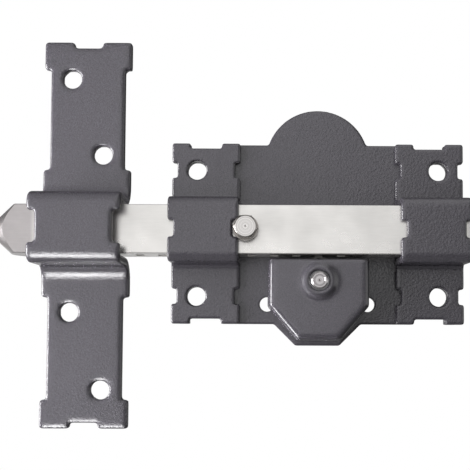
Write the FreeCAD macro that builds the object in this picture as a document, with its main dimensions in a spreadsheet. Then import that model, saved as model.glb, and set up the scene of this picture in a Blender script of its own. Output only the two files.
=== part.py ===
import FreeCAD, Part
import math
import os
import Sketcher
from types import SimpleNamespace
from FreeCAD import Vector

# Surface-mounted sliding bolt lock, with its bolt thrown through the keeper.
# Millimetres. +Z is up, +X is right as seen from the room, and the room is on the -Y side.
# The door's face is Y = 0 and the origin is on the drive axis, which runs along Y.

os.makedirs("parts", exist_ok=True)
doc = FreeCAD.newDocument("sliding_bolt_lock")

driving_sizes = [
    # back plate
    ("body_length", 74.5, "height of the plate and of both bridges"),
    ("bolt_rise", 20.1, "bolt's axis above the drive axis"),
    ("plate_wall", 3.0, "back plate's sheet"),
    ("plate_inset", 2.8, "plate's ends inside the bridges' outer edges"),
    ("lobe_radius", 21.4, "round lobe on the plate's top edge"),
    ("lobe_height", 14.6, "lobe above the top edge"),
    ("tongue_top", 35.7, "tongue's width where it leaves the plate"),
    ("tongue_foot", 18.1, "tongue's width at its foot"),
    ("tongue_drop", 8.8, "tongue's height"),
    ("small_hole", 6.0, "diameter of the two small plate holes"),
    ("small_hole_span", 41.5, "between the two small plate holes"),
    ("small_hole_drop", 9.0, "small holes below the drive axis"),
    ("screw_hole", 7.8, "diameter of every screw hole"),
    ("hole_lip", 0.4, "rounded lip of every screw hole"),
    ("plate_edge", 0.5, "rounding of the plate's front edge"),
    # bridges
    ("bridge_width", 28.0, "bridge along the bolt"),
    ("bridge_wall", 3.0, "bridge's sheet"),
    ("bridge_crest_bend", 0.6, "inner radius of the bridge's upper bends"),
    ("bridge_root_bend", 1.8, "front radius of the bridge's lower bends"),
    ("fix_span", 99.5, "fixing holes, along the bolt"),
    ("fix_margin", 10.25, "fixing holes from the bridges' outer edges"),
    ("fix_rise", 52.0, "fixing holes, across the bolt"),
    ("end_notch", 12.8, "width of the notch in each end of a bridge"),
    ("end_notch_depth", 2.1, "its depth"),
    ("side_notch", 6.2, "height of the notches beside the holes"),
    ("side_notch_depth", 2.2, "their depth"),
    ("crest_notch", 6.6, "height of the notches beside the bolt"),
    ("crest_notch_depth", 2.4, "their depth"),
    ("bridge_corner", 0.9, "corner radius of the bridge's outline"),
    ("bridge_edge", 0.6, "rounding of the bridge's front edges"),
    # bolt
    ("bolt_height", 19.5, "bar's height"),
    ("bolt_depth", 16.0, "bar's depth"),
    ("bolt_length", 194.0, "bar's length"),
    ("bolt_reach", 128.2, "tip's end from the drive axis"),
    ("bolt_play", 0.2, "gap behind and in front of the bolt"),
    ("bolt_side_play", 0.25, "gap above and below the bolt in a bridge"),
    ("bolt_edge", 0.4, "rounding of the bar's long edges"),
    ("tip_radius", 5.5, "radius of the tip's flat end"),
    ("tip_angle", 42.0, "cone-turned tip's slope to the axis, in degrees"),
    ("pocket_pitch", 9.0, "between neighbouring pockets"),
    ("pocket_count", 10, "pockets in the bolt's underside"),
    ("pockets_ahead", 8, "pockets between the drive axis and the tip"),
    ("pocket_width", 3.4, "pocket along the bolt"),
    ("pocket_breadth", 5.5, "pocket across the bolt"),
    ("pocket_sink", 2.6, "pocket's depth"),
    # keeper
    ("keeper_reach", 95.7, "keeper's centre from the drive axis"),
    ("keeper_length", 160.7, "keeper's height"),
    ("keeper_width", 36.4, "keeper along the bolt"),
    ("keeper_waist", 31.0, "width of its narrow stretches"),
    ("keeper_wall", 3.5, "keeper's sheet"),
    ("keeper_head", 11.7, "height of each T-shaped head"),
    ("keeper_shoulder", 53.0, "height of the wide middle stretch"),
    ("keeper_front", 28.0, "front of the loop from the door's face"),
    ("keeper_play", 0.8, "gap above and below the bolt in the loop"),
    ("keeper_crest_bend", 1.0, "inner radius of the loop's upper bends"),
    ("keeper_root_bend", 6.0, "front radius of the loop's lower bends"),
    ("keeper_hole_side", 6.6, "keeper's holes from its centre line"),
    ("keeper_hole_near", 32.7, "near holes above and below the bolt"),
    ("keeper_hole_end", 15.75, "far holes from the keeper's ends"),
    ("keeper_notch", 11.6, "width of the notch in each head"),
    ("keeper_notch_depth", 2.4, "its depth"),
    ("loop_notch", 12.5, "height of the loop's side notches"),
    ("loop_notch_depth", 3.2, "their depth"),
    ("keeper_corner", 1.15, "corner radius of the keeper's outline"),
    ("keeper_edge", 1.0, "rounding of the keeper's front edges"),
    # knob
    ("knob_inset", 2.8, "knob's axis from the left bridge's inner edge"),
    ("knob_gap", 0.4, "collar in front of the bridges"),
    ("collar_size", 10.0, "collar's diameter"),
    ("collar_wall", 1.3, "collar's thickness"),
    ("hex_flats", 8.4, "across the knob's flats"),
    ("head_height", 4.9, "head in front of the collar"),
    ("head_bevel", 0.9, "bevel of the head's face"),
    ("head_dimple", 0.35, "turning centre in the head's face, its radius and depth"),
    ("stud_size", 6.0, "stud's diameter"),
    ("stud_grip", 8.0, "stud's length in the bolt"),
    ("stud_head_grip", 4.0, "stud's length in the knob"),
    # cover
    ("cover_width", 39.4, "cover's width"),
    ("cover_gap", 1.65, "between the bolt's underside and the cover"),
    ("cover_bend_drop", 10.1, "start of the cover's slanted walls below the drive axis"),
    ("cover_drop", 23.5, "cover's bottom below the drive axis"),
    ("cover_foot", 16.6, "width of the cover's bottom"),
    ("cover_front", 18.0, "cover's front from the door's face"),
    ("cover_wall", 1.5, "cover's sheet"),
    ("cover_edge", 2.0, "outer radius of the cover's front edges"),
    ("cover_corner", 1.8, "outer radius of the cover's upright bends"),
    ("boss_size", 15.0, "boss's diameter at its base"),
    ("boss_top", 11.4, "boss's diameter at its top"),
    ("boss_rise", 1.4, "boss in front of the cover"),
    ("boss_hole", 8.0, "hole for the button"),
    ("lug_length", 6.0, "peened lugs along the cover's edge"),
    ("lug_fit", 0.05, "gap round a lug in its slot"),
    # drive
    ("wheel_teeth", 8, "teeth on the drive wheel"),
    ("tooth_sink", 1.9, "tooth's tip inside the bolt's pocket"),
    ("tooth_tip", 1.6, "tooth's width at its tip"),
    ("tooth_root", 2.8, "tooth's width at its root"),
    ("wheel_root", 9.8, "radius of the wheel between its teeth"),
    ("wheel_wall", 3.8, "wheel's thickness"),
    ("tooth_back_play", 0.45, "between the teeth and the pockets' back walls"),
    ("hub_size", 12.0, "hub's diameter"),
    ("hub_start", 0.6, "hub's end from the door's face"),
    ("pin_orbit", 7.9, "lock pins from the drive axis"),
    ("pin_size", 2.4, "lock pin's diameter"),
    ("pin_fit", 0.25, "gap round a lock pin in the wheel"),
    ("recess_size", 9.6, "recess in the wheel's front"),
    ("recess_depth", 2.4, "its depth"),
    ("slot_width", 8.8, "slot for the cylinder's flat tailpiece"),
    ("slot_height", 2.4, "its height"),
    ("slot_depth", 7.4, "its depth"),
    ("running_fit", 0.05, "gap round a turning or sliding shaft"),
    ("bush_size", 16.0, "bush's diameter in the plate"),
    ("bush_flange", 19.0, "bush's flange"),
    ("bush_flange_wall", 1.2, "flange's thickness"),
    ("bush_end_play", 0.3, "between the bush and the wheel"),
    ("clip_wall", 0.8, "thickness of the wheel's clip"),
    ("clip_bite", 0.8, "clip's groove in the hub"),
    ("clip_size", 14.0, "clip's outer diameter"),
    ("clip_gap", 4.0, "opening of the clip"),
    ("clip_start", 1.2, "clip from the door's face"),
    ("clip_play", 0.2, "gap beside the clip"),
    # button and lock flange
    ("button_size", 6.7, "button's diameter"),
    ("button_proud", 0.8, "button in front of the boss"),
    ("button_bevel", 0.5, "bevel round the button's face, and radius and depth of its centre"),
    ("button_rim", 0.6, "width of the ring round the button's face"),
    ("button_dish", 0.25, "face behind its ring"),
    ("shank_size", 4.0, "button's shank in the flange"),
    ("flange_wall", 1.2, "lock flange's sheet"),
    ("flange_play", 0.1, "between the flange and the cover"),
    ("flange_width", 21.0, "flange's width at the wheel"),
    ("flange_top", 6.5, "flange's top above the drive axis"),
    ("flange_corner", 2.4, "flange's corner radius"),
    ("pin_reach", 1.9, "lock pins behind the flange"),
    ("clip_drop", 0.6, "thickness of the button's clip"),
    ("button_clip_size", 7.0, "its diameter"),
    ("post_side", 9.0, "guide posts from the drive axis, sideways"),
    ("post_drop", 14.0, "guide posts below the drive axis"),
    ("post_size", 3.0, "post's diameter"),
    ("post_shoulder", 5.4, "post's shoulder"),
    ("post_shoulder_wall", 1.0, "its thickness"),
    ("post_margin", 2.5, "flange's edge beyond a post"),
    ("spring_radius", 2.2, "spring's mean radius"),
    ("spring_wire", 0.7, "spring's wire"),
    ("spring_turns", 6, "spring's turns"),
    ("spring_seat", 0.1, "gap at each end of a spring"),
]

sheet = doc.addObject("Spreadsheet::Sheet", "Sizes")
for row, (word, value, note) in enumerate(driving_sizes, start=1):
    sheet.set(f"A{row}", word)
    sheet.set(f"B{row}", str(value))
    sheet.setAlias(f"B{row}", word)
    sheet.set(f"C{row}", note)
doc.recompute()


# A size carries its number and the sheet expression that gives it.
class Size:
    def __init__(self, number, text):
        self.number = number
        self.text = text

    def __add__(self, other):
        return Size(self.number + sized(other).number, f"({self.text} + {sized(other).text})")

    def __radd__(self, other):
        return sized(other) + self

    def __sub__(self, other):
        return Size(self.number - sized(other).number, f"({self.text} - {sized(other).text})")

    def __rsub__(self, other):
        return sized(other) - self

    def __mul__(self, other):
        return Size(self.number * sized(other).number, f"({self.text} * {sized(other).text})")

    def __rmul__(self, other):
        return sized(other) * self

    def __truediv__(self, other):
        return Size(self.number / sized(other).number, f"({self.text} / {sized(other).text})")

    def __neg__(self):
        return Size(-self.number, f"(0 - {self.text})")


def sized(value):
    if isinstance(value, Size):
        return value
    return Size(value, str(value))


def tangent(angle):
    return Size(math.tan(math.radians(angle.number)), f"tan({angle.text} * 1 deg)")


dim = SimpleNamespace(**{word: Size(float(value), f"Sizes.{word}") for word, value, note in driving_sizes})
overrun = Size(2.0, "2")         # how far a cutting outline passes the edge that it opens
near = 0.01                      # tolerance when an edge is looked up by its place
edge_shares = (0.05, 0.5, 0.95)  # where along an edge its place is tried

bolt_back = dim.plate_wall + dim.bolt_play
bolt_middle = bolt_back + dim.bolt_depth / 2

# Sizes that follow from those above, kept in the same sheet.
driven_sizes = [
    ("body_width", dim.fix_span + 2 * dim.fix_margin, "over the outer edges of both bridges"),
    ("knob_reach", dim.fix_span / 2 + dim.fix_margin - dim.bridge_width - dim.knob_inset,
     "knob's axis from the drive axis"),
    ("keeper_hole_far", dim.keeper_length / 2 - dim.keeper_hole_end, "far holes above and below the bolt"),
    ("wheel_back", bolt_middle - dim.pocket_breadth / 2 + dim.tooth_back_play,
     "wheel's back from the door's face"),
]
for row, (word, size, note) in enumerate(driven_sizes, start=len(driving_sizes) + 1):
    sheet.set(f"A{row}", word)
    sheet.set(f"B{row}", "=" + size.text.replace("Sizes.", ""))
    sheet.setAlias(f"B{row}", word)
    sheet.set(f"C{row}", note)
    setattr(dim, word, Size(size.number, f"Sizes.{word}"))
doc.recompute()

# Places that several pieces share.
bridge_front = bolt_back + dim.bolt_depth + dim.bolt_play + dim.bridge_wall
bridge_half = dim.bolt_height / 2 + dim.bolt_side_play + dim.bridge_wall
keeper_half = dim.bolt_height / 2 + dim.keeper_play + dim.keeper_wall
bridge_centre = dim.body_width / 2 - dim.bridge_width / 2
plate_top = dim.bolt_rise + dim.body_length / 2
plate_bottom = dim.bolt_rise - dim.body_length / 2
bolt_under = dim.bolt_rise - dim.bolt_height / 2
cover_top = bolt_under - dim.cover_gap
flange_front = dim.cover_front - dim.cover_wall - dim.flange_play
flange_back = flange_front - dim.flange_wall
collar_back = bridge_front + dim.knob_gap

bodies = []


# Document helpers

def new_body(label, x=0, y=0, z=0):
    body = doc.addObject("PartDesign::Body", label)
    body.Label = label
    for side, place in (("x", x), ("y", y), ("z", z)):
        body.setExpression(f"Placement.Base.{side}", sized(place).text)
    bodies.append(body)
    return body


def origin_feature(body, role):
    return next(item for item in body.Origin.OriginFeatures if item.Role == role)


def sketch_on(body, name, role, lift=0):
    sketch = body.newObject("Sketcher::SketchObject", name)
    sketch.AttachmentSupport = [(origin_feature(body, role), "")]
    sketch.MapMode = "FlatFace"
    sketch.setExpression("AttachmentOffset.Base.z", sized(lift).text)
    return sketch


def pin_point(sketch, geometry, point, across, up):
    for kind, place in (("DistanceX", sized(across)), ("DistanceY", sized(up))):
        index = sketch.addConstraint(Sketcher.Constraint(kind, -1, 1, geometry, point, place.number))
        sketch.setExpression(f"Constraints[{index}]", place.text)


def outline(sketch, corners):
    first = sketch.GeometryCount
    ring = [Vector(sized(across).number, sized(up).number, 0) for across, up in corners]
    count = len(ring)
    for index in range(count):
        sketch.addGeometry(Part.LineSegment(ring[index], ring[(index + 1) % count]), False)
    for index in range(count):
        following = first + (index + 1) % count
        sketch.addConstraint(Sketcher.Constraint("Coincident", first + index, 2, following, 1))
    for index, (across, up) in enumerate(corners):
        pin_point(sketch, first + index, 1, across, up)


def rectangle(sketch, left, bottom, right, top):
    outline(sketch, [(left, bottom), (right, bottom), (right, top), (left, top)])


def circle(sketch, across, up, diameter):
    across, up = sized(across), sized(up)
    centre = Vector(across.number, up.number, 0)
    index = sketch.addGeometry(Part.Circle(centre, Vector(0, 0, 1), diameter.number / 2), False)
    pin_point(sketch, index, 3, across, up)
    bound = sketch.addConstraint(Sketcher.Constraint("Diameter", index, diameter.number))
    sketch.setExpression(f"Constraints[{bound}]", diameter.text)


def check_added(body, feature, before):
    doc.recompute()
    if feature.Shape.Volume <= before:
        raise RuntimeError(f"{feature.Name} in {body.Label} added nothing")
    return feature


def check_removed(body, feature, before):
    doc.recompute()
    if feature.Shape.Volume >= before:
        raise RuntimeError(f"{feature.Name} in {body.Label} removed nothing")
    return feature


def volume_of(body):
    doc.recompute()
    return body.Tip.Shape.Volume if body.Tip else 0.0


def pad(body, name, sketch, length, symmetric=False, reverse=False):
    before = volume_of(body)
    feature = body.newObject("PartDesign::Pad", name)
    feature.Profile = sketch
    feature.SideType = "Symmetric" if symmetric else "One side"
    feature.Reversed = reverse
    feature.setExpression("Length", sized(length).text)
    return check_added(body, feature, before)


def pocket(body, name, sketch, length=None, reverse=False):
    before = volume_of(body)
    feature = body.newObject("PartDesign::Pocket", name)
    feature.Profile = sketch
    if length is None:
        feature.SideType = "Symmetric"
        feature.Type = "ThroughAll"
    else:
        feature.Reversed = reverse
        feature.setExpression("Length", sized(length).text)
    return check_removed(body, feature, before)


def turned(body, name, corners, cut=False):
    before = volume_of(body)
    sketch = sketch_on(body, name + "Profile", "XY_Plane")
    outline(sketch, corners)
    kind = "PartDesign::Groove" if cut else "PartDesign::Revolution"
    feature = body.newObject(kind, name)
    feature.Profile = sketch
    feature.ReferenceAxis = (sketch, ["V_Axis"])
    feature.Angle = 360
    return check_removed(body, feature, before) if cut else check_added(body, feature, before)


def blended(body, name, radius, wanted, kind="PartDesign::Fillet"):
    doc.recompute()
    base = body.Tip
    names = [f"Edge{index}" for index, edge in enumerate(base.Shape.Edges, start=1)
             if not edge.Degenerated and wanted(edge)]
    if not names:
        raise RuntimeError(f"{name} in {body.Label} found no edge")
    feature = body.newObject(kind, name)
    feature.Base = (base, names)
    feature.setExpression("Size" if kind.endswith("Chamfer") else "Radius", sized(radius).text)
    doc.recompute()
    if feature.Shape.isNull() or not feature.isValid():
        raise RuntimeError(f"{name} in {body.Label} can't be made on {len(names)} edges")
    return feature


# Whether a straight edge runs along the named axis.
def runs_along(edge, axis):
    if not isinstance(edge.Curve, Part.Line):
        return False
    span = edge.BoundBox
    lengths = {"x": span.XLength, "y": span.YLength, "z": span.ZLength}
    return lengths[axis] > near and all(size < near for name, size in lengths.items() if name != axis)


# A strap of hat section, bent from one sheet, with its length along Z and its width along X.

def hat_section(body, width, length, wall, back, front, half, crest_bend, root_bend):
    section = sketch_on(body, "Section", "YZ_Plane")
    end = length / 2
    inner = half - wall
    outline(section, [
        (-back, -end), (-(back + wall), -end), (-(back + wall), -half), (-front, -half),
        (-front, half), (-(back + wall), half), (-(back + wall), end), (-back, end),
        (-back, inner), (-(front - wall), inner), (-(front - wall), -inner), (-back, -inner)])
    pad(body, "Strip", section, width, symmetric=True)

    def bend_at(depth, rise):
        def wanted(edge):
            middle = edge.CenterOfMass
            return (runs_along(edge, "x") and abs(-middle.y - depth.number) < near
                    and abs(abs(middle.z) - rise.number) < near)
        return wanted

    blended(body, "CrestInside", crest_bend, bend_at(front - wall, inner))
    blended(body, "CrestOutside", crest_bend + wall, bend_at(front, half))
    blended(body, "RootFront", root_bend, bend_at(back + wall, half))
    blended(body, "RootBack", root_bend + wall, bend_at(back, inner))


# Whether an edge borders the strap's front skin, leaving out the lines where a bend starts.

def front_rim(width, wall, back, front, half, crest_bend, root_bend):
    foot = back.number + wall.number
    crest = crest_bend.number + wall.number
    root = root_bend.number
    face = front.number
    side = half.number

    def on_skin(depth, rise):
        if rise >= side + root - near:
            return abs(depth - foot) < near
        if rise >= side and depth < foot + root:
            return abs(math.hypot(depth - foot - root, rise - side - root) - root) < near
        if rise <= side - crest + near:
            return abs(depth - face) < near
        if depth > face - crest:
            return abs(math.hypot(depth - face + crest, rise - side + crest) - crest) < near
        return abs(rise - side) < near

    def wanted(edge):
        if runs_along(edge, "x") and edge.Length > width.number / 2:
            return False
        first, last = edge.ParameterRange
        places = [edge.valueAt(first + share * (last - first)) for share in edge_shares]
        return all(on_skin(-place.y, abs(place.z)) for place in places)

    return wanted


def upright_corner(edge):
    return runs_along(edge, "y")


def hole_rim(depth, diameter):
    def wanted(edge):
        return (isinstance(edge.Curve, Part.Circle) and abs(edge.Curve.Radius - diameter.number / 2) < near
                and abs(-edge.Curve.Center.y - depth.number) < near)
    return wanted


# Back plate: outline with the tongue, the round lobe, and every hole that goes through it.

def make_back_plate():
    body = new_body("back_plate")
    half = dim.body_width / 2 - dim.plate_inset
    blank = sketch_on(body, "Blank", "XZ_Plane")
    outline(blank, [
        (-half, plate_bottom), (-dim.tongue_top / 2, plate_bottom),
        (-dim.tongue_foot / 2, plate_bottom - dim.tongue_drop),
        (dim.tongue_foot / 2, plate_bottom - dim.tongue_drop),
        (dim.tongue_top / 2, plate_bottom), (half, plate_bottom),
        (half, plate_top), (-half, plate_top)])
    pad(body, "Plate", blank, dim.plate_wall)
    lobe = sketch_on(body, "LobeOutline", "XZ_Plane")
    circle(lobe, 0, plate_top + dim.lobe_height - dim.lobe_radius, 2 * dim.lobe_radius)
    pad(body, "Lobe", lobe, dim.plate_wall)

    notches = sketch_on(body, "NotchOutline", "XZ_Plane")
    reach = dim.end_notch / 2 + dim.lug_fit
    depth = dim.end_notch_depth + dim.bridge_edge
    for side in (-1, 1):
        centre = side * bridge_centre
        rectangle(notches, centre - reach, plate_top - depth, centre + reach, plate_top + overrun)
        rectangle(notches, centre - reach, plate_bottom - overrun, centre + reach, plate_bottom + depth)
    pocket(body, "Notches", notches)

    bottom = plate_bottom.number
    inside = half.number

    def outer_corner(edge):
        middle = edge.CenterOfMass
        tongue = middle.z < bottom + near
        lobe_foot = abs(middle.z - plate_top.number) < near and abs(middle.x) < dim.lobe_radius.number
        return upright_corner(edge) and (tongue or lobe_foot) and abs(middle.x) < inside / 2

    blended(body, "Corners", dim.bridge_corner, outer_corner)

    def front_edge(edge):
        middle = edge.CenterOfMass
        if abs(-middle.y - dim.plate_wall.number) > near or abs(edge.BoundBox.YLength) > near:
            return False
        between = abs(middle.x) < bridge_centre.number - dim.bridge_width.number / 2
        lobe_arc = middle.z > plate_top.number + near
        lower = middle.z < bottom + near
        return lobe_arc or (between and lower)

    blended(body, "FrontEdge", dim.plate_edge, front_edge)

    holes = sketch_on(body, "HoleCentres", "XZ_Plane")
    for side in (-1, 1):
        circle(holes, side * dim.small_hole_span / 2, -dim.small_hole_drop, dim.small_hole)
        circle(holes, side * dim.post_side, -dim.post_drop, dim.post_size)
        for up in (-1, 1):
            circle(holes, side * dim.fix_span / 2, dim.bolt_rise + up * dim.fix_rise / 2, dim.screw_hole)
    circle(holes, 0, 0, dim.bush_size)
    pocket(body, "Holes", holes)

    slots = sketch_on(body, "LugSlots", "XZ_Plane")
    fit = dim.lug_fit
    for side in (-1, 1):
        outer = side * dim.cover_width / 2
        inner = outer - side * dim.cover_wall
        low, high = (inner, outer) if side > 0 else (outer, inner)
        rectangle(slots, low - fit, -dim.lug_length / 2 - fit, high + fit, dim.lug_length / 2 + fit)
    rectangle(slots, -dim.lug_length / 2 - fit, -dim.cover_drop - fit,
              dim.lug_length / 2 + fit, -dim.cover_drop + dim.cover_wall + fit)
    pocket(body, "Slots", slots)

    return body


# Bridge: side is -1 for the left one and +1 for the right one, whose holes lie outboard.

def make_bridge(label, side):
    body = new_body(label, side * bridge_centre, 0, dim.bolt_rise)
    shape = (dim.bridge_wall, dim.plate_wall, bridge_front, bridge_half,
             dim.bridge_crest_bend, dim.bridge_root_bend)
    hat_section(body, dim.bridge_width, dim.body_length, *shape)

    notches = sketch_on(body, "NotchOutline", "XZ_Plane")
    end = dim.body_length / 2
    edge = dim.bridge_width / 2
    for way in (-1, 1):
        low, high = sorted((way * (end - dim.end_notch_depth), way * (end + overrun)), key=number_of)
        rectangle(notches, -dim.end_notch / 2, low, dim.end_notch / 2, high)
        for rise, height, depth in ((dim.fix_rise / 2, dim.side_notch, dim.side_notch_depth),
                                    (-dim.fix_rise / 2, dim.side_notch, dim.side_notch_depth),
                                    (sized(0), dim.crest_notch, dim.crest_notch_depth)):
            left, right = sorted((way * (edge - depth), way * (edge + overrun)), key=number_of)
            rectangle(notches, left, rise - height / 2, right, rise + height / 2)
    pocket(body, "Notches", notches)
    blended(body, "Corners", dim.bridge_corner, upright_corner)

    holes = sketch_on(body, "HoleCentres", "XZ_Plane")
    outboard = side * (dim.fix_span / 2 - bridge_centre)
    for up in (-1, 1):
        circle(holes, outboard, up * dim.fix_rise / 2, dim.screw_hole)
    pocket(body, "Holes", holes)
    blended(body, "HoleLips", dim.hole_lip, hole_rim(dim.plate_wall + dim.bridge_wall, dim.screw_hole))
    blended(body, "FrontEdges", dim.bridge_edge, front_rim(dim.bridge_width, *shape))
    return body


def number_of(size):
    return size.number


# Keeper: the long strap on the frame, with T-shaped heads and the deep loop for the bolt.

def make_keeper():
    body = new_body("keeper", -dim.keeper_reach, 0, dim.bolt_rise)
    shape = (dim.keeper_wall, sized(0), dim.keeper_front, keeper_half,
             dim.keeper_crest_bend, dim.keeper_root_bend)
    hat_section(body, dim.keeper_width, dim.keeper_length, *shape)

    notches = sketch_on(body, "NotchOutline", "XZ_Plane")
    end = dim.keeper_length / 2
    edge = dim.keeper_width / 2
    for way in (-1, 1):
        low, high = sorted((way * (end - dim.keeper_notch_depth), way * (end + overrun)), key=number_of)
        rectangle(notches, -dim.keeper_notch / 2, low, dim.keeper_notch / 2, high)
        left, right = sorted((way * (edge - dim.loop_notch_depth), way * (edge + overrun)), key=number_of)
        rectangle(notches, left, -dim.loop_notch / 2, right, dim.loop_notch / 2)
        left, right = sorted((way * dim.keeper_waist / 2, way * (edge + overrun)), key=number_of)
        for up in (-1, 1):
            ends = (up * dim.keeper_shoulder / 2, up * (end - dim.keeper_head))
            low, high = sorted(ends, key=number_of)
            rectangle(notches, left, low, right, high)
    pocket(body, "Notches", notches)
    blended(body, "Corners", dim.keeper_corner, upright_corner)

    holes = sketch_on(body, "HoleCentres", "XZ_Plane")
    for side, rise in ((-1, dim.keeper_hole_far), (1, dim.keeper_hole_near),
                       (-1, -dim.keeper_hole_near), (1, -dim.keeper_hole_far)):
        circle(holes, side * dim.keeper_hole_side, rise, dim.screw_hole)
    pocket(body, "Holes", holes)
    blended(body, "HoleLips", dim.hole_lip, hole_rim(dim.keeper_wall, dim.screw_hole))
    blended(body, "FrontEdges", dim.keeper_edge, front_rim(dim.keeper_width, *shape))
    return body


# Bolt: a bar along X with a cone-turned tip, a blind hole for the stud and a row of pockets.

def make_bolt():
    body = new_body("bolt", 0, -bolt_middle, dim.bolt_rise)
    bar = sketch_on(body, "BarSection", "YZ_Plane", -dim.bolt_reach)
    half_depth, half_height = dim.bolt_depth / 2, dim.bolt_height / 2
    rectangle(bar, -half_depth, -half_height, half_depth, half_height)
    pad(body, "Bar", bar, dim.bolt_length)
    blended(body, "LongEdges", dim.bolt_edge, lambda edge: runs_along(edge, "x"))
    tail = dim.bolt_length - dim.bolt_reach
    blended(body, "TailEdges", dim.bolt_edge,
            lambda edge: abs(edge.BoundBox.XMin - tail.number) < near, "PartDesign::Chamfer")

    before = volume_of(body)
    cone = sketch_on(body, "TipProfile", "XY_Plane")
    outer = half_depth + half_height
    slope = (outer - dim.tip_radius) / tangent(dim.tip_angle)
    end = -dim.bolt_reach
    outline(cone, [(end - overrun, dim.tip_radius), (end, dim.tip_radius), (end + slope, outer),
                   (end - overrun, outer)])
    groove = body.newObject("PartDesign::Groove", "Tip")
    groove.Profile = cone
    groove.ReferenceAxis = (cone, ["H_Axis"])
    groove.Angle = 360
    check_removed(body, groove, before)

    hole = sketch_on(body, "StudCentre", "XZ_Plane", half_depth)
    circle(hole, -dim.knob_reach, 0, dim.stud_size)
    pocket(body, "StudHole", hole, dim.stud_grip)

    first = sketch_on(body, "PocketOutline", "XY_Plane", -half_height)
    start = -dim.pockets_ahead * dim.pocket_pitch
    rectangle(first, start - dim.pocket_width / 2, -dim.pocket_breadth / 2,
              start + dim.pocket_width / 2, dim.pocket_breadth / 2)
    cut = pocket(body, "Pocket", first, dim.pocket_sink, reverse=True)
    row = body.newObject("PartDesign::LinearPattern", "PocketRow")
    row.Originals = [cut]
    row.Direction = (origin_feature(body, "X_Axis"), [""])
    row.setExpression("Length", (dim.pocket_pitch * (dim.pocket_count - 1)).text)
    row.setExpression("Occurrences", dim.pocket_count.text)
    body.Tip = row
    doc.recompute()
    return body


# Knob: turned with its collar, then milled to six flats, and bored for the stud.

def make_knob():
    body = new_body("knob", -dim.knob_reach, -collar_back, dim.bolt_rise)
    head = dim.hex_flats / math.sqrt(3)
    collar = dim.collar_size / 2
    face = dim.collar_wall + dim.head_height
    turned(body, "Blank", [
        (0, 0), (collar, 0), (collar, -dim.collar_wall), (head, -dim.collar_wall),
        (head, -(face - dim.head_bevel)), (head - dim.head_bevel, -face), (dim.head_dimple, -face),
        (0, -(face - dim.head_dimple))])
    flats = sketch_on(body, "Hexagon", "XZ_Plane", face)
    turns = [math.radians(60 * index) for index in range(6)]
    outline(flats, [(head * math.cos(turn), head * math.sin(turn)) for turn in turns])
    circle(flats, 0, 0, 2 * (collar + overrun))
    pocket(body, "Flats", flats, dim.head_height)
    bore = sketch_on(body, "StudBore", "XZ_Plane")
    circle(bore, 0, 0, dim.stud_size)
    pocket(body, "Bore", bore, dim.stud_head_grip, reverse=True)
    return body


def make_knob_stud():
    body = new_body("knob_stud", -dim.knob_reach, 0, dim.bolt_rise)
    start = bolt_back + dim.bolt_depth - dim.stud_grip
    end = collar_back + dim.stud_head_grip
    radius = dim.stud_size / 2
    turned(body, "Stud", [(0, -start), (radius, -start), (radius, -end), (0, -end)])
    return body


# Cover: pressed box, open behind and on top, with the boss for the button and three lugs.

def cover_outline(inset, top):
    run = (dim.cover_width - dim.cover_foot) / 2
    fall = dim.cover_drop - dim.cover_bend_drop
    slant = Size(math.hypot(run.number, fall.number), f"sqrt({run.text} ^ 2 + {fall.text} ^ 2)")
    side = dim.cover_width / 2 - inset
    bend = dim.cover_bend_drop - inset * (slant - fall) / run
    foot = dim.cover_foot / 2 - inset * (slant - run) / fall
    drop = dim.cover_drop - inset
    return [(side, top), (side, -bend), (foot, -drop), (-foot, -drop), (-side, -bend), (-side, top)]


def make_cover():
    body = new_body("cover_box")
    back = dim.plate_wall
    inner_front = dim.cover_front - dim.cover_wall
    shell = sketch_on(body, "OuterOutline", "XZ_Plane", back)
    outline(shell, cover_outline(sized(0), cover_top))
    pad(body, "Shell", shell, dim.cover_front - back)
    low = -dim.cover_bend_drop.number + near
    blended(body, "UprightBends", dim.cover_corner,
            lambda edge: upright_corner(edge) and edge.CenterOfMass.z < low)
    top = cover_top.number
    front = dim.cover_front.number
    blended(body, "FrontBends", dim.cover_edge,
            lambda edge: abs(-edge.BoundBox.YMin - front) < near and edge.BoundBox.YLength < near
            and edge.CenterOfMass.z < top - near)
    hollow = sketch_on(body, "InnerOutline", "XZ_Plane", back)
    outline(hollow, cover_outline(dim.cover_wall, cover_top + overrun))
    pocket(body, "Hollow", hollow, inner_front - back, reverse=True)

    hole = sketch_on(body, "ButtonHole", "XZ_Plane")
    circle(hole, 0, 0, dim.boss_hole)
    pocket(body, "Hole", hole)
    base, crown, bore = dim.boss_size / 2, dim.boss_top / 2, dim.boss_hole / 2
    peak = dim.cover_front + dim.boss_rise
    turned(body, "Boss", [(bore, -inner_front), (base, -inner_front), (base, -dim.cover_front),
                          (crown, -peak), (bore, -peak)])
    lip = peak - dim.cover_wall
    start = inner_front - overrun
    inside = base - dim.cover_wall
    turned(body, "BossHollow", [(0, -start), (inside, -start), (inside, -inner_front),
                                (crown - dim.cover_wall / 2, -lip), (0, -lip)], cut=True)
    blended(body, "BossRim", dim.plate_edge, hole_rim(peak, dim.boss_top))

    lugs = sketch_on(body, "LugOutline", "XZ_Plane")
    reach = dim.lug_length / 2
    for side in (-1, 1):
        outer = side * dim.cover_width / 2
        left, right = sorted((outer, outer - side * dim.cover_wall), key=number_of)
        rectangle(lugs, left, -reach, right, reach)
    rectangle(lugs, -reach, -dim.cover_drop, reach, -dim.cover_drop + dim.cover_wall)
    pad(body, "Lugs", lugs, back)
    return body


# Drive wheel: turned hub and disc, eight teeth, the holes for the lock pins, the tailpiece slot.

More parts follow.
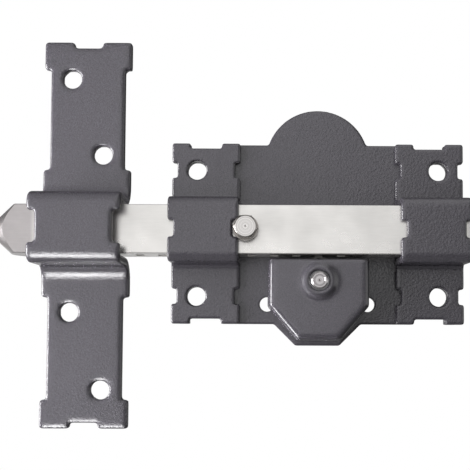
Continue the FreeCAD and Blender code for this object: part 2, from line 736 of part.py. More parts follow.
def make_drive_wheel():
    body = new_body("drive_wheel")
    hub = dim.hub_size / 2
    groove = hub - dim.clip_bite
    front = dim.wheel_back + dim.wheel_wall
    play = dim.running_fit
    recess = dim.recess_size / 2
    turned(body, "Blank", [
        (0, -dim.hub_start), (hub, -dim.hub_start), (hub, -(dim.clip_start - play)),
        (groove, -(dim.clip_start - play)), (groove, -(dim.clip_start + dim.clip_wall + play)),
        (hub, -(dim.clip_start + dim.clip_wall + play)), (hub, -dim.wheel_back),
        (dim.wheel_root, -dim.wheel_back), (dim.wheel_root, -front), (recess, -front),
        (recess, -(front - dim.recess_depth)), (0, -(front - dim.recess_depth))])
    tip = bolt_under + dim.tooth_sink
    tooth = sketch_on(body, "ToothOutline", "XZ_Plane", dim.wheel_back)
    inside = dim.wheel_root - overrun
    outline(tooth, [(-dim.tooth_root / 2, inside), (dim.tooth_root / 2, inside),
                    (dim.tooth_root / 2, dim.wheel_root), (dim.tooth_tip / 2, tip),
                    (-dim.tooth_tip / 2, tip), (-dim.tooth_root / 2, dim.wheel_root)])
    first_tooth = pad(body, "Tooth", tooth, dim.wheel_wall)
    around(body, "Teeth", first_tooth)
    hole = sketch_on(body, "PinHoleCentre", "XZ_Plane", dim.wheel_back)
    circle(hole, dim.pin_orbit, 0, dim.pin_size + 2 * dim.pin_fit)
    first_hole = pocket(body, "PinHole", hole, dim.wheel_wall, reverse=True)
    around(body, "PinHoles", first_hole)
    slot = sketch_on(body, "TailpieceSlot", "XZ_Plane", dim.hub_start)
    rectangle(slot, -dim.slot_width / 2, -dim.slot_height / 2, dim.slot_width / 2, dim.slot_height / 2)
    pocket(body, "Slot", slot, dim.slot_depth, reverse=True)
    return body


def around(body, name, feature):
    pattern = body.newObject("PartDesign::PolarPattern", name)
    pattern.Originals = [feature]
    pattern.Axis = (origin_feature(body, "Y_Axis"), [""])
    pattern.Angle = 360
    pattern.setExpression("Occurrences", dim.wheel_teeth.text)
    body.Tip = pattern
    doc.recompute()


def make_wheel_bush():
    body = new_body("wheel_bush")
    outer, bore = dim.bush_size / 2, dim.hub_size / 2 + dim.running_fit
    shelf = dim.clip_start + dim.clip_wall + dim.clip_play
    end = dim.wheel_back - dim.bush_end_play
    seat = dim.plate_wall
    relief = dim.clip_size / 2 + dim.clip_play
    turned(body, "Bush", [
        (relief, 0), (outer, 0), (outer, -seat), (dim.bush_flange / 2, -seat),
        (dim.bush_flange / 2, -(seat + dim.bush_flange_wall)), (outer, -(seat + dim.bush_flange_wall)),
        (outer, -end), (bore, -end), (bore, -shelf), (relief, -shelf)])
    return body


def make_wheel_clip():
    body = new_body("wheel_clip")
    bite, outer = dim.hub_size / 2 - dim.clip_bite, dim.clip_size / 2
    back, front = dim.clip_start, dim.clip_start + dim.clip_wall
    turned(body, "Ring", [(bite, -back), (outer, -back), (outer, -front), (bite, -front)])
    gap = sketch_on(body, "Opening", "XZ_Plane")
    rectangle(gap, -dim.clip_gap / 2, 0, dim.clip_gap / 2, dim.clip_size)
    pocket(body, "Gap", gap)
    return body


# Button: head with a dished face and a turning centre, and a shank through the lock flange.

def make_push_button():
    body = new_body("push_button")
    radius, shank = dim.button_size / 2, dim.shank_size / 2
    peak = dim.cover_front + dim.boss_rise + dim.button_proud
    end = flange_back - dim.clip_drop
    rim = radius - dim.button_bevel
    dish = rim - dim.button_rim
    floor = peak - dim.button_dish
    turned(body, "Button", [
        (0, -end), (shank, -end), (shank, -flange_front), (radius, -flange_front),
        (radius, -(peak - dim.button_bevel)), (rim, -peak), (dish, -peak), (dish - dim.button_dish, -floor),
        (dim.button_bevel, -floor), (0, -(floor - dim.button_bevel))])
    return body


def make_button_clip():
    body = new_body("button_clip")
    shank, outer = dim.shank_size / 2, dim.button_clip_size / 2
    front, back = flange_back, flange_back - dim.clip_drop
    turned(body, "Ring", [(shank, -back), (outer, -back), (outer, -front), (shank, -front)])
    return body


def make_lock_flange():
    body = new_body("lock_flange")
    plan = sketch_on(body, "Plan", "XZ_Plane", flange_back)
    half, foot = dim.flange_width / 2, dim.post_side + dim.post_margin
    low = -(dim.post_drop + dim.post_margin)
    outline(plan, [(-foot, low), (foot, low), (half, -dim.pin_orbit), (half, dim.flange_top),
                   (-half, dim.flange_top), (-half, -dim.pin_orbit)])
    pad(body, "Flange", plan, dim.flange_wall)
    blended(body, "Corners", dim.flange_corner, upright_corner)
    holes = sketch_on(body, "HoleCentres", "XZ_Plane")
    circle(holes, 0, 0, dim.shank_size)
    for side in (-1, 1):
        circle(holes, side * dim.pin_orbit, 0, dim.pin_size)
        circle(holes, side * dim.post_side, -dim.post_drop, dim.post_size + 2 * dim.running_fit)
    pocket(body, "Holes", holes)
    return body


def make_lock_pin(label, side):
    body = new_body(label, side * dim.pin_orbit)
    radius = dim.pin_size / 2
    start, end = flange_back - dim.pin_reach, flange_front
    turned(body, "Pin", [(0, -start), (radius, -start), (radius, -end), (0, -end)])
    return body


def make_guide_post(label, side):
    body = new_body(label, side * dim.post_side, 0, -dim.post_drop)
    radius, shoulder = dim.post_size / 2, dim.post_shoulder / 2
    seat = dim.plate_wall
    step = seat + dim.post_shoulder_wall
    turned(body, "Post", [(0, 0), (radius, 0), (radius, -seat), (shoulder, -seat), (shoulder, -step),
                          (radius, -step), (radius, -flange_front), (0, -flange_front)])
    return body


def make_button_spring(label, side):
    start = dim.plate_wall + dim.post_shoulder_wall + dim.spring_seat + dim.spring_wire / 2
    height = flange_back - dim.spring_seat - dim.spring_wire / 2 - start
    body = new_body(label, side * dim.post_side, -start, -dim.post_drop)
    wire = sketch_on(body, "Wire", "XY_Plane")
    circle(wire, dim.spring_radius, 0, dim.spring_wire)
    coil = body.newObject("PartDesign::AdditiveHelix", "Coil")
    coil.Profile = wire
    coil.ReferenceAxis = (wire, ["V_Axis"])
    coil.Mode = "height-turns-angle"
    coil.Reversed = True
    coil.setExpression("Height", height.text)
    coil.setExpression("Turns", dim.spring_turns.text)
    doc.recompute()
    return body


make_back_plate()
make_bridge("left_bridge", -1)
make_bridge("right_bridge", 1)
make_keeper()
make_bolt()
make_knob()
make_knob_stud()
make_cover()
make_drive_wheel()
make_wheel_bush()
make_wheel_clip()
make_push_button()
make_button_clip()
make_lock_flange()
for name, side in (("left", -1), ("right", 1)):
    make_lock_pin(f"lock_pin_{name}", side)
    make_guide_post(f"guide_post_{name}", side)
    make_button_spring(f"button_spring_{name}", side)

doc.recompute()
for item in doc.Objects:
    if "Invalid" in item.State or "Error" in item.State:
        raise RuntimeError(f"{item.Name} failed: {item.State}")
for body in bodies:
    if body.Shape.isNull() or not body.Shape.isValid():
        raise RuntimeError(f"{body.Label} has no valid solid")
for body in bodies:
    body.Shape.exportStep(f"parts/{body.Label}.step")
    print(body.Label, len(body.Shape.Solids), round(body.Shape.Volume, 1))
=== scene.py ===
import math

import bpy
from mathutils import Matrix, Vector


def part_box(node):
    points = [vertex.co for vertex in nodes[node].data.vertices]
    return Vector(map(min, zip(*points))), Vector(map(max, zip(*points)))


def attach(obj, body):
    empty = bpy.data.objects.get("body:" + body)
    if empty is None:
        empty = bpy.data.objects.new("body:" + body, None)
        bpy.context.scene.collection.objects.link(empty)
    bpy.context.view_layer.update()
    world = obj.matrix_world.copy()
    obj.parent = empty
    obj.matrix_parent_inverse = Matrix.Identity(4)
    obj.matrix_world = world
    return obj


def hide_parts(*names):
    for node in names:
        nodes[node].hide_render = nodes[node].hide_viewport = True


# Surface-mounted deadbolt lock in dark hammered paint, with a satin bolt and a turned knob and button.

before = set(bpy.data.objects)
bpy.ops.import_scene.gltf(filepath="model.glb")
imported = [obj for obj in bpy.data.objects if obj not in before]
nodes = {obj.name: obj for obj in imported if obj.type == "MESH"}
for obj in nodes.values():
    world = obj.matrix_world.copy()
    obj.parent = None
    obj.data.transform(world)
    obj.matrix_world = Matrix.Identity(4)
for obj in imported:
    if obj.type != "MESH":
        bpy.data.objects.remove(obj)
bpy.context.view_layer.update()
print("frame loaded:", len(nodes), "nodes")

mm = 0.001


def clearSelection():
    if bpy.context.object and bpy.context.object.mode != "OBJECT":
        bpy.ops.object.mode_set(mode="OBJECT")
    bpy.ops.object.select_all(action="DESELECT")


# Helpers for node trees, used by the studio and by the finishes


def setOrLink(tree, value, socket):
    if isinstance(value, (int, float, tuple)):
        socket.default_value = value
    else:
        tree.links.new(value, socket)


def addNoise(tree, place, scale, detail, roughness):
    noise = tree.nodes.new("ShaderNodeTexNoise")
    for label, value in (("Vector", place), ("Scale", scale), ("Detail", detail), ("Roughness", roughness)):
        setOrLink(tree, value, noise.inputs[label])
    return noise.outputs["Fac"]


def addMath(tree, operation, *values):
    node = tree.nodes.new("ShaderNodeMath")
    node.operation = operation
    for socket, value in zip(node.inputs, values):
        setOrLink(tree, value, socket)
    return node.outputs[0]


def addRange(tree, value, start, end, interpolation="LINEAR"):
    node = tree.nodes.new("ShaderNodeMapRange")
    node.interpolation_type = interpolation
    for socket, number in zip(node.inputs, (value, *start, *end)):
        setOrLink(tree, number, socket)
    return node.outputs["Result"]


def addColourMix(tree, share, first, second):
    node = tree.nodes.new("ShaderNodeMix")
    node.data_type = "RGBA"
    for label, value in (("Factor", share), ("A", first), ("B", second)):
        setOrLink(tree, value, node.inputs[label])
    return node.outputs["Result"]


# Camera: a shifted view, as a studio camera gives it, so that upright lines stay upright

cameraView = {
    "place": (-20.4, -358.4, -22.4),   # mm
    "yaw": -0.0055,                    # radians, to the left
    "pitch": 0.0527,                   # upwards
    "roll": 0.0041,
    "focalPixels": 862.6,
    "framePixels": 470.0,
    "sensor": 36.0,
    "shiftX": -0.08,
    "shiftY": 0.12,
    "nearest": 0.01,                   # m
    "farthest": 20.0,
}


def addCamera(values):
    yaw, pitch, roll = values["yaw"], values["pitch"], values["roll"]
    ahead = Vector((-math.sin(yaw) * math.cos(pitch), math.cos(yaw) * math.cos(pitch), math.sin(pitch)))
    level = Vector((math.cos(yaw), math.sin(yaw), 0.0))
    upright = level.cross(ahead)
    right = level * math.cos(roll) + upright * math.sin(roll)
    up = upright * math.cos(roll) - level * math.sin(roll)
    lens = bpy.data.cameras.new("photoCamera")
    lens.sensor_width = values["sensor"]
    lens.lens = values["focalPixels"] * values["sensor"] / values["framePixels"]
    lens.shift_x = values["shiftX"]
    lens.shift_y = values["shiftY"]
    lens.clip_start = values["nearest"]
    lens.clip_end = values["farthest"]
    camera = bpy.data.objects.new("photoCamera", lens)
    bpy.context.scene.collection.objects.link(camera)
    turned = Matrix((right, up, -ahead)).transposed().to_4x4()
    camera.matrix_world = Matrix.Translation(Vector(values["place"]) * mm) @ turned
    bpy.context.scene.camera = camera


addCamera(cameraView)
bpy.context.scene.view_settings.view_transform = "Standard"
print("camera placed")

# Studio: white surroundings, a pale floor well below, and soft lamps above, at the left and behind

white = (1.0, 1.0, 1.0, 1.0)

studio = {
    "floorDrop": 0.30,          # m below the drive axis
    "floorRadius": 1.35,
    "floorSides": 96,
    "floorColour": (0.16, 0.16, 0.16, 1.0),
    "floorRoughness": 0.9,
    "floorWhite": 0.75,         # how far the floor is seen as plain white paper
    "floorFade": (0.3, 0.98),   # from and to these shares of its radius it turns white
    "surroundLight": 0.04,      # what plain surfaces get from all round
    "glossBehind": 0.16,        # share of the gloss that surfaces see behind the lock
    "behindFrom": (-0.2, 0.3),  # where that dimming starts and ends, by direction
    "glossLow": 0.85,           # share of the gloss behind, below the lock's level
    "lowFrom": (-0.06, 0.02),
    "glossSlant": 0.5,          # how far the bright side leans to the upper right
    # what gloss shows from left to right: share of the way across, brightness
    "glossSides": (
        (0.00, 0.45), (0.20, 0.40), (0.29, 0.90), (0.36, 1.06),
        (0.52, 1.06), (0.56, 0.66), (0.60, 0.22), (1.00, 0.04)),
}

lockMiddle = (-0.03, -0.015, 0.02)      # m, where the large lamps point
keeperMiddle = (-0.10, -0.02, 0.0)

# places and sizes in m, power in W
softboxes = {
    # soft light from the upper left
    "mainBox": {"place": (-0.58, -0.60, 1.00), "aim": lockMiddle, "size": (1.5, 1.5), "power": 13.0,
                "glossy": False},
    # a highlight on the low bends of the keeper
    "lowBox": {"place": (-0.161, -0.200, -0.190), "aim": (-0.115, -0.02, 0.0), "size": (0.10, 0.28),
               "power": 0.16, "spread": 60.0, "diffuse": False, "only": ("keeper_rolled",)},
    # a highlight on the cover's low left corner
    "cornerBox": {"place": (-0.250, -0.100, -0.245), "aim": lockMiddle, "size": (0.12, 0.12), "power": 0.60,
                  "diffuse": False, "only": ("cover_box_rolled",)},
    # soft light from the left, and the narrow strip that draws the highlights on the left edges
    "leftBox": {"place": (-0.57, -0.23, -0.065), "aim": keeperMiddle, "size": (0.6, 0.45), "power": 6.8,
                "glossy": False},
    "stripBox": {"place": (-0.60, -0.13, -0.065), "aim": keeperMiddle, "size": (0.16, 0.45), "power": 3.8},
    # light for the back and the right end
    "backBox": {"place": (0.45, 0.95, 0.75), "aim": lockMiddle, "size": (0.9, 0.9), "power": 16.0,
                "glossy": False},
}


def addSoftbox(name, values):
    lamp = bpy.data.lights.new(name, "AREA")
    lamp.shape = "RECTANGLE"
    lamp.size, lamp.size_y = values["size"]
    lamp.energy = values["power"]
    lamp.spread = math.radians(values.get("spread", 180.0))
    box = bpy.data.objects.new(name, lamp)
    bpy.context.scene.collection.objects.link(box)
    box.visible_glossy = values.get("glossy", True)
    box.visible_diffuse = values.get("diffuse", True)
    box.location = Vector(values["place"])
    box.rotation_euler = (Vector(values["aim"]) - box.location).to_track_quat("-Z", "Y").to_euler()
    return box


def limitSoftbox(box, names):
    # a small lamp, flagged off by black cards from all pieces but these
    lit = bpy.data.collections.new(box.name + "Lit")
    for name in names:
        lit.objects.link(bpy.data.objects[name])
    box.light_linking.receiver_collection = lit


def addBackground(tree, colour, strength):
    background = tree.nodes.new("ShaderNodeBackground")
    for label, value in (("Color", colour), ("Strength", strength)):
        setOrLink(tree, value, background.inputs[label])
    return background.outputs[0]


def addShaderMix(tree, share, first, second):
    mix = tree.nodes.new("ShaderNodeMixShader")
    for socket, value in zip(mix.inputs, (share, first, second)):
        tree.links.new(value, socket)
    return mix.outputs[0]


def addSurroundings(values):
    world = bpy.data.worlds.new("studioWhite")
    bpy.context.scene.world = world
    world.use_nodes = True
    tree = world.node_tree
    tree.nodes.clear()
    output = tree.nodes.new("ShaderNodeOutputWorld")
    direction = tree.nodes.new("ShaderNodeTexCoord")
    split = tree.nodes.new("ShaderNodeSeparateXYZ")
    tree.links.new(direction.outputs["Generated"], split.inputs[0])
    slanted = addMath(tree, "MULTIPLY_ADD", split.outputs["Z"], -values["glossSlant"], split.outputs["X"])
    sides = tree.nodes.new("ShaderNodeValToRGB")
    ramp = sides.color_ramp
    ramp.interpolation = "EASE"
    for place, bright in values["glossSides"]:
        stop = ramp.elements.new(place)
        stop.color = (bright, bright, bright, 1.0)
    ramp.elements.remove(ramp.elements[0])
    ramp.elements.remove(ramp.elements[-1])
    tree.links.new(addRange(tree, slanted, (-1.0, 1.0), (0.0, 1.0)), sides.inputs[0])
    # behind the lock the gloss is dimmer, and most of all above the lock's level
    low = addRange(tree, split.outputs["Z"], values["lowFrom"], (values["glossLow"], values["glossBehind"]))
    behind = addRange(tree, split.outputs["Y"], values["behindFrom"], (1.0, low))
    rays = tree.nodes.new("ShaderNodeLightPath")
    plain = addBackground(tree, white, values["surroundLight"])
    gloss = addBackground(tree, sides.outputs["Color"], behind)
    seen = addBackground(tree, white, 1.0)
    unseen = addShaderMix(tree, rays.outputs["Is Glossy Ray"], plain, gloss)
    shown = addShaderMix(tree, rays.outputs["Is Camera Ray"], unseen, seen)
    tree.links.new(shown, output.inputs["Surface"])


def addFloor(values):
    clearSelection()
    bpy.ops.mesh.primitive_circle_add(
        vertices=values["floorSides"], radius=values["floorRadius"], fill_type="NGON",
        location=(0.0, 0.0, -values["floorDrop"]))
    floor = bpy.context.object
    floor.name = "floor"
    paper = bpy.data.materials.new("floorPaper")
    paper.use_nodes = True
    tree = paper.node_tree
    shader = tree.nodes["Principled BSDF"]
    shader.inputs["Base Color"].default_value = values["floorColour"]
    shader.inputs["Roughness"].default_value = values["floorRoughness"]
    bright = tree.nodes.new("ShaderNodeEmission")
    rays = tree.nodes.new("ShaderNodeLightPath")
    place = tree.nodes.new("ShaderNodeTexCoord")
    length = tree.nodes.new("ShaderNodeVectorMath")
    length.operation = "LENGTH"
    tree.links.new(place.outputs["Object"], length.inputs[0])
    reach = [share * values["floorRadius"] for share in values["floorFade"]]
    fade = addRange(tree, length.outputs["Value"], reach, (values["floorWhite"], 1.0), "SMOOTHSTEP")
    share = addMath(tree, "MULTIPLY", fade, rays.outputs["Is Camera Ray"])
    mixed = addShaderMix(tree, share, shader.outputs[0], bright.outputs[0])
    tree.links.new(mixed, tree.nodes["Material Output"].inputs["Surface"])
    floor.data.materials.append(paper)


addSurroundings(studio)
addFloor(studio)
boxes = {name: addSoftbox(name, values) for name, values in softboxes.items()}
print("studio lit")

# Finishes: what more than one of them shows is a node group


def newGroup(name, inputs, outputs):
    group = bpy.data.node_groups.new(name, "ShaderNodeTree")
    for label, kind, value in inputs:
        socket = group.interface.new_socket(name=label, in_out="INPUT", socket_type=kind)
        if value is not None:
            socket.default_value = value
    for label, kind in outputs:
        group.interface.new_socket(name=label, in_out="OUTPUT", socket_type=kind)
    return group, group.nodes.new("NodeGroupInput"), group.nodes.new("NodeGroupOutput")


# each noise: its detail and its roughness, and for a fixed one how many per m come first
noiseValues = {
    "dimples": (2.0, 0.45),
    "flecks": (1.0, 0.5),
    "paintClouds": (60.0, 3.0, 0.6),
    "lines": (3.0, 0.6),
    "steelClouds": (3.0, 0.55),
    "rings": (1.0, 3.0, 0.65),
    "fleckHeight": 0.35,         # how much the flecks add to the dimples
    "wide": (0.3, 0.7),          # the part of a noise that is stretched to the whole tone
    "narrow": (0.32, 0.68),
}
whole = (0.0, 1.0)


def makeGrainGroup(values):
    group, given, made = newGroup(
        "hammeredGrain",
        [("Place", "NodeSocketVector", None), ("Grain per m", "NodeSocketFloat", 800.0),
         ("Fleck per m", "NodeSocketFloat", 2600.0)],
        [("Height", "NodeSocketFloat"), ("Fleck", "NodeSocketFloat"), ("Cloud", "NodeSocketFloat")])
    place = given.outputs["Place"]
    coarse = addNoise(group, place, given.outputs["Grain per m"], *values["dimples"])
    fleck = addNoise(group, place, given.outputs["Fleck per m"], *values["flecks"])
    cloud = addNoise(group, place, *values["paintClouds"])
    fine = addMath(group, "MULTIPLY", fleck, values["fleckHeight"])
    group.links.new(addMath(group, "ADD", coarse, fine), made.inputs["Height"])
    group.links.new(addRange(group, fleck, values["narrow"], whole), made.inputs["Fleck"])
    group.links.new(addRange(group, cloud, values["wide"], whole), made.inputs["Cloud"])
    return group


def makeBrushGroup(values):
    group, given, made = newGroup(
        "brushedLines",
        [("Place", "NodeSocketVector", None), ("Lines per m", "NodeSocketFloat", 3000.0),
         ("Even place", "NodeSocketVector", None), ("Clouds per m", "NodeSocketFloat", 150.0)],
        [("Height", "NodeSocketFloat"), ("Tone", "NodeSocketFloat"), ("Cloud", "NodeSocketFloat")])
    lines = addNoise(group, given.outputs["Place"], given.outputs["Lines per m"], *values["lines"])
    place = given.outputs["Even place"]
    cloud = addNoise(group, place, given.outputs["Clouds per m"], *values["steelClouds"])
    group.links.new(lines, made.inputs["Height"])
    group.links.new(addRange(group, lines, values["wide"], whole), made.inputs["Tone"])
    group.links.new(addRange(group, cloud, values["wide"], whole), made.inputs["Cloud"])
    return group


def makeRingGroup(values):
    group, given, made = newGroup(
        "turnedRings",
        [("Place", "NodeSocketVector", None), ("Rings per m", "NodeSocketFloat", 2200.0)],
        [("Height", "NodeSocketFloat"), ("Tone", "NodeSocketFloat"), ("Radius", "NodeSocketFloat")])
    split = group.nodes.new("ShaderNodeSeparateXYZ")
    group.links.new(given.outputs["Place"], split.inputs[0])
    across = addMath(group, "POWER", split.outputs["X"], 2.0)
    square = addMath(group, "ADD", across, addMath(group, "POWER", split.outputs["Z"], 2.0))
    radius = addMath(group, "SQRT", square)
    group.links.new(radius, made.inputs["Radius"])
    turns = addMath(group, "MULTIPLY", radius, given.outputs["Rings per m"])
    place = group.nodes.new("ShaderNodeCombineXYZ")
    group.links.new(turns, place.inputs["X"])
    wander = addNoise(group, place.outputs[0], *values["rings"])
    group.links.new(wander, made.inputs["Height"])
    group.links.new(addRange(group, wander, values["narrow"], whole), made.inputs["Tone"])
    return group


grainGroup = makeGrainGroup(noiseValues)
brushGroup = makeBrushGroup(noiseValues)
ringGroup = makeRingGroup(noiseValues)


def newFinish(name):
    finish = bpy.data.materials.new(name)
    finish.use_nodes = True
    tree = finish.node_tree
    return finish, tree, tree.nodes["Principled BSDF"]


def placeOn(tree, centre=(0.0, 0.0, 0.0), stretch=(1.0, 1.0, 1.0), turn=(0.0, 0.0, 0.0)):
    place = tree.nodes.new("ShaderNodeTexCoord")
    mapping = tree.nodes.new("ShaderNodeMapping")
    mapping.inputs["Location"].default_value = [-c * f for c, f in zip(centre, stretch)]
    mapping.inputs["Scale"].default_value = stretch
    mapping.inputs["Rotation"].default_value = [math.radians(angle) for angle in turn]
    tree.links.new(place.outputs["Object"], mapping.inputs["Vector"])
    return mapping.outputs["Vector"]


def useGroup(tree, group, place, **values):
    node = tree.nodes.new("ShaderNodeGroup")
    node.node_tree = group
    tree.links.new(place, node.inputs["Place"])
    for label, value in values.items():
        node.inputs[label.replace("_", " ")].default_value = value
    return node


def addBump(tree, height, depth, shader):
    bump = tree.nodes.new("ShaderNodeBump")
    bump.inputs["Strength"].default_value = 1.0
    bump.inputs["Distance"].default_value = depth
    tree.links.new(height, bump.inputs["Height"])
    tree.links.new(bump.outputs["Normal"], shader.inputs["Normal"])


def addRoughness(tree, cloud, first, second, shader):
    tree.links.new(addRange(tree, cloud, whole, (first, second)), shader.inputs["Roughness"])


paintValues = {
    "dark": (0.031, 0.0285, 0.035, 1.0),
    "light": (0.078, 0.072, 0.087, 1.0),
    "cloudy": (0.050, 0.046, 0.056, 1.0),
    "cloudShare": 0.35,
    "grain": 1100.0,             # per m: the hammered dimples are about 1 mm apart
    "fleck": 3600.0,
    "turn": (31.0, 17.0, 43.0),  # keeps the grain's own grid off the flat faces
    "depth": 0.00012,            # m
    "metallic": 0.05,
    "gloss": 1.0,
    "roughness": 0.22,
    "uneven": 0.04,              # how far the roughness changes over the surface
}

coverPaintValues = dict(paintValues, depth=0.00004, grain=1400.0)  # the deep-drawn cover is smoother


def makePaint(name, values):
    finish, tree, shader = newFinish(name)
    grain = useGroup(tree, grainGroup, placeOn(tree, turn=values["turn"]),
                     Grain_per_m=values["grain"], Fleck_per_m=values["fleck"])
    flecked = addColourMix(tree, grain.outputs["Fleck"], values["dark"], values["light"])
    share = addMath(tree, "MULTIPLY", grain.outputs["Cloud"], values["cloudShare"])
    tree.links.new(addColourMix(tree, share, flecked, values["cloudy"]), shader.inputs["Base Color"])
    shader.inputs["Metallic"].default_value = values["metallic"]
    shader.inputs["Specular IOR Level"].default_value = values["gloss"]
    rough = values["roughness"]
    addRoughness(tree, grain.outputs["Cloud"], rough - values["uneven"], rough + values["uneven"], shader)
    addBump(tree, grain.outputs["Height"], values["depth"], shader)
    return finish


steelValues = {
    "lines": 900.0,                  # per m
    "lineShare": 0.5,                # how much of the tone the lines make, clouds make the rest
    "cloud": 150.0,                  # per m
    "stretch": (1.0, 1.0, 1.0),
    "metallic": 0.92,
    "uneven": 0.05,
}

boltValues = dict(
    steelValues,
    bright=(0.95, 0.93, 0.905, 1.0),
    dull=(0.82, 0.805, 0.78, 1.0),
    lines=1500.0,
    lineShare=0.28,
    cloud=55.0,
    stretch=(0.10, 1.0, 1.0),        # the brushed lines run along the bolt
    depth=0.000004,                  # m
    roughness=0.30,
    tip=(0.60, 0.568, 0.570, 1.0),   # the turned tip's colour is darker: painted shade for the dimmer reflection the tip shows
    tipDull=(0.47, 0.444, 0.447, 1.0),
    tipStart=-0.1145,                # m
    tipBlend=0.003,
)

zincValues = dict(
    steelValues,
    bright=(0.46, 0.46, 0.47, 1.0),
    dull=(0.32, 0.32, 0.33, 1.0),
    depth=0.000012,
    roughness=0.38,
)

# the drive wheel gets a near-black steel colour: painted shade for the dark gap inside the cover where it
# sits
shadedWheelValues = dict(
    steelValues,
    bright=(0.15, 0.145, 0.14, 1.0),
    dull=(0.09, 0.088, 0.085, 1.0),
    depth=0.000010,
    roughness=0.45,
)

springValues = dict(
    steelValues,
    bright=(0.42, 0.42, 0.44, 1.0),
    dull=(0.26, 0.26, 0.28, 1.0),
    lines=1500.0,
    stretch=(1.0, 0.2, 1.0),
    depth=0.000006,
    roughness=0.30,
)


def makeSteel(name, values):
    finish, tree, shader = newFinish(name)
    brush = useGroup(tree, brushGroup, placeOn(tree, stretch=values["stretch"]),
                     Lines_per_m=values["lines"], Clouds_per_m=values["cloud"])
    tree.links.new(placeOn(tree), brush.inputs["Even place"])
    clouds = addMath(tree, "MULTIPLY", brush.outputs["Cloud"], 1.0 - values["lineShare"])
    mixed = addMath(tree, "MULTIPLY_ADD", brush.outputs["Tone"], values["lineShare"], clouds)
    tone = addColourMix(tree, mixed, values["dull"], values["bright"])
    # the tip takes a darker colour, painted shade for its dimmer reflection
    if "tip" in values:
        split = tree.nodes.new("ShaderNodeSeparateXYZ")
        tree.links.new(placeOn(tree), split.inputs[0])
        start = values["tipStart"]
        onTip = addRange(tree, split.outputs["X"], (start + values["tipBlend"], start), whole)
        tip = addColourMix(tree, mixed, values["tipDull"], values["tip"])
        tone = addColourMix(tree, onTip, tone, tip)
    tree.links.new(tone, shader.inputs["Base Color"])
    shader.inputs["Metallic"].default_value = values["metallic"]
    rough = values["roughness"]
    addRoughness(tree, brush.outputs["Cloud"], rough + values["uneven"], rough - values["uneven"], shader)
    addBump(tree, brush.outputs["Height"], values["depth"], shader)
    return finish


knobValues = {
    "bright": (0.84, 0.82, 0.80, 1.0),
    "dull": (0.50, 0.48, 0.47, 1.0),
    # the knob's side is painted darker than its face: painted shade for the dark reflections on its flats
    "side": (0.30, 0.28, 0.265, 1.0),
    "face": 0.0040,              # m, the face's radius
    "faceEdge": 0.0002,
    "rings": 1900.0,             # per m
    "depth": 0.000014,
    "roughness": 0.20,
}

buttonValues = {
    "bright": (0.62, 0.60, 0.60, 1.0),
    "dull": (0.34, 0.32, 0.33, 1.0),
    # the button's side keeps its bright tone, with no painted shade
    "side": (0.62, 0.60, 0.60, 1.0),
    "face": 0.0032,
    "faceEdge": 0.0002,
    "rings": 1300.0,
    "depth": 0.000010,
    "roughness": 0.18,
}


def makeNickel(name, values, centre):
    finish, tree, shader = newFinish(name)
    ring = useGroup(tree, ringGroup, placeOn(tree, centre=centre), Rings_per_m=values["rings"])
    tone = addColourMix(tree, ring.outputs["Tone"], values["dull"], values["bright"])
    # outside the face the side colour takes over, which on the knob is painted shade
    rim = (values["face"] - values["faceEdge"], values["face"] + values["faceEdge"])
    outside = addRange(tree, ring.outputs["Radius"], rim, whole)
    tree.links.new(addColourMix(tree, outside, tone, values["side"]), shader.inputs["Base Color"])
    shader.inputs["Metallic"].default_value = 1.0
    shader.inputs["Roughness"].default_value = values["roughness"]
    addBump(tree, ring.outputs["Height"], values["depth"], shader)
    return finish


def coat(finish, *names):
    for name in names:
        mesh = nodes[name].data
        mesh.materials.clear()
        mesh.materials.append(finish)


# Pressed sheet: the sheared front edges are rolled over, softer than the bare solids have them

sheetWork = {
    "merge": 0.000002,           # m, closer points of the CAD mesh are one
    "frontLimit": 0.25,          # faces turned further to the back stay as they are
    "smoothing": 0.5,
}

# voxel in m, passes that roll the edges to the front, passes that round the corners, opening of the walls
rolledEdges = {
    "keeper": {"voxel": 0.00045, "passes": 46, "corners": 8},
    "left_bridge": {"voxel": 0.00040, "passes": 14},
    "right_bridge": {"voxel": 0.00040, "passes": 14},
    "cover_box": {"voxel": 0.00035, "passes": 44, "flare": 0.05, "corners": 14},
    "back_plate": {"voxel": 0.00050, "passes": 4},
}


def flareWalls(sheet, share):
    # the pressed walls open a little towards the plate, at the sides and below
    places = [vertex.co for vertex in sheet.data.vertices]
    front = min(place.y for place in places)
    back = max(place.y for place in places)
    middleX = (min(place.x for place in places) + max(place.x for place in places)) / 2
    middleZ = (min(place.z for place in places) + max(place.z for place in places)) / 2
    for place in places:
        wider = share * (place.y - front) / (back - front)
        place.x += (place.x - middleX) * wider
        place.z += min(place.z - middleZ, 0.0) * wider


def smoothFront(sheet, name, passes, depthOnly):
    smooth = sheet.modifiers.new(name, "SMOOTH")
    smooth.factor = sheetWork["smoothing"]
    smooth.iterations = passes
    smooth.use_x = not depthOnly
    smooth.use_z = not depthOnly
    smooth.vertex_group = "front"
    bpy.ops.object.modifier_apply(modifier=smooth.name)


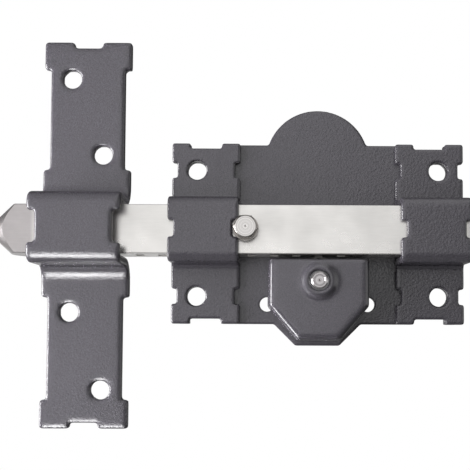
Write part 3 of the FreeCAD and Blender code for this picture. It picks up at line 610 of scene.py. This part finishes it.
def rolledSheet(name, values, body, finish):
    clearSelection()
    sheet = nodes[name].copy()
    sheet.data = nodes[name].data.copy()
    bpy.context.scene.collection.objects.link(sheet)
    sheet.name = name + "_rolled"
    bpy.context.view_layer.objects.active = sheet
    sheet.select_set(True)
    bpy.ops.object.mode_set(mode="EDIT")
    bpy.ops.mesh.select_all(action="SELECT")
    bpy.ops.mesh.remove_doubles(threshold=sheetWork["merge"])
    bpy.ops.object.mode_set(mode="OBJECT")
    remesh = sheet.modifiers.new("evenGrid", "REMESH")
    remesh.mode = "VOXEL"
    remesh.voxel_size = values["voxel"]
    bpy.ops.object.modifier_apply(modifier=remesh.name)
    if "flare" in values:
        flareWalls(sheet, values["flare"])
    front = sheet.vertex_groups.new(name="front")
    chosen = [v.index for v in sheet.data.vertices if v.normal.y < sheetWork["frontLimit"]]
    front.add(chosen, 1.0, "REPLACE")
    smoothFront(sheet, "rollEdges", values["passes"], True)
    if "corners" in values:
        smoothFront(sheet, "roundCorners", values["corners"], False)
    bpy.ops.object.shade_smooth()
    sheet.data.materials.clear()
    sheet.data.materials.append(finish)
    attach(sheet, body)
    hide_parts(name)
    print(sheet.name, len(sheet.data.polygons), "faces")


def middleOf(name):
    low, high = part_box(name)
    return (low + high) / 2


knobMiddle = middleOf("knob")
buttonMiddle = middleOf("push_button")
paint = makePaint("hammeredPaint", paintValues)
coverPaint = makePaint("coverPaint", coverPaintValues)
boltSteel = makeSteel("satinBolt", boltValues)
zinc = makeSteel("zincPlate", zincValues)
wire = makeSteel("drawnWire", springValues)
coat(paint, "back_plate", "left_bridge", "right_bridge", "keeper")
coat(coverPaint, "cover_box")
for sheetName, sheetValues in rolledEdges.items():
    rolledSheet(sheetName, sheetValues, "lock_case", coverPaint if sheetName == "cover_box" else paint)
coat(boltSteel, "bolt")
coat(makeNickel("turnedKnob", knobValues, knobMiddle), "knob")
coat(makeNickel("turnedButton", buttonValues, buttonMiddle), "push_button")
# the drive wheel's near-black colour is painted shade
coat(makeSteel("shadedWheelSteel", shadedWheelValues), "drive_wheel")
coat(zinc, "knob_stud", "wheel_bush", "lock_flange", "lock_pin_left", "lock_pin_right",
     "guide_post_left", "guide_post_right")
coat(wire, "wheel_clip", "button_clip", "button_spring_left", "button_spring_right")
print("finishes set")

for boxName, box in boxes.items():
    if "only" in softboxes[boxName]:
        limitSoftbox(box, softboxes[boxName]["only"])
